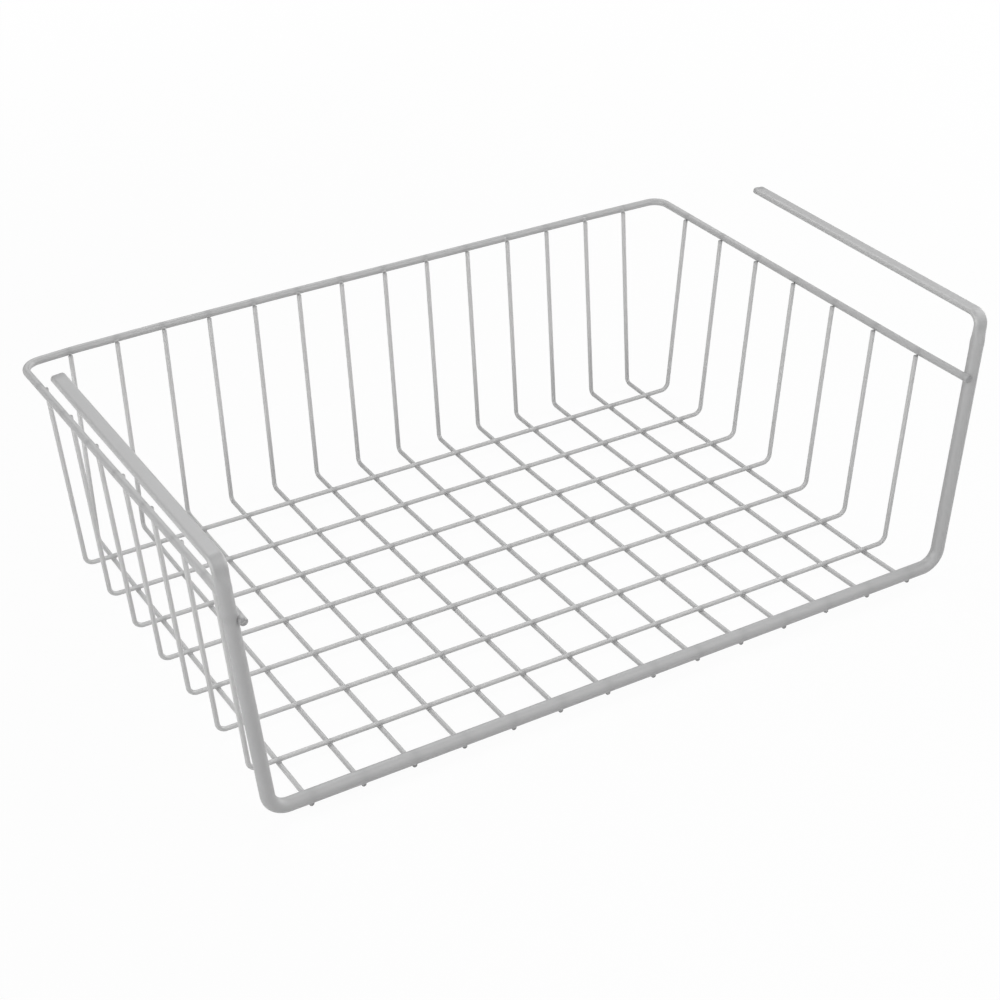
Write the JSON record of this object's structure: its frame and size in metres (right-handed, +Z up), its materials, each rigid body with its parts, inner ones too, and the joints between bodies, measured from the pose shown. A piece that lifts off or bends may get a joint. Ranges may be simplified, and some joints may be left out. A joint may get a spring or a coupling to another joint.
{
  "type": "under shelf basket",
  "caption": "Open-fronted welded wire basket that hangs under a shelf board by flat arms, with a mesh floor, back and sides and a rim wire.",
  "frame": {"origin": "on the resting plane under the middle of the basket, at the bottom centre of its bounding box", "axes": "+X to the right seen from the open front, +Y from the open front to the back wall, +Z up"},
  "size_m": [0.396, 0.264, 0.14],
  "materials": {
    "front_frame": "satin silver grey powder coat",
    "rim_wire": "satin silver grey powder coat",
    "back_wire": "satin silver grey powder coat",
    "side_wire": "satin silver grey powder coat"
  },
  "bodies": {
    "root": {"front_frame": "front_frame", "rim_wire": "rim_wire", "back_wire_01": "back_wire", "back_wire_02": "back_wire", "back_wire_03": "back_wire", "back_wire_04": "back_wire", "back_wire_05": "back_wire", "back_wire_06": "back_wire", "back_wire_07": "back_wire", "back_wire_08": "back_wire", "back_wire_09": "back_wire", "back_wire_10": "back_wire", "back_wire_11": "back_wire", "back_wire_12": "back_wire", "back_wire_13": "back_wire", "back_wire_14": "back_wire", "side_wire_1": "side_wire", "side_wire_2": "side_wire", "side_wire_3": "side_wire", "side_wire_4": "side_wire", "side_wire_5": "side_wire", "side_wire_6": "side_wire", "side_wire_7": "side_wire"}
  },
  "joints": []
}
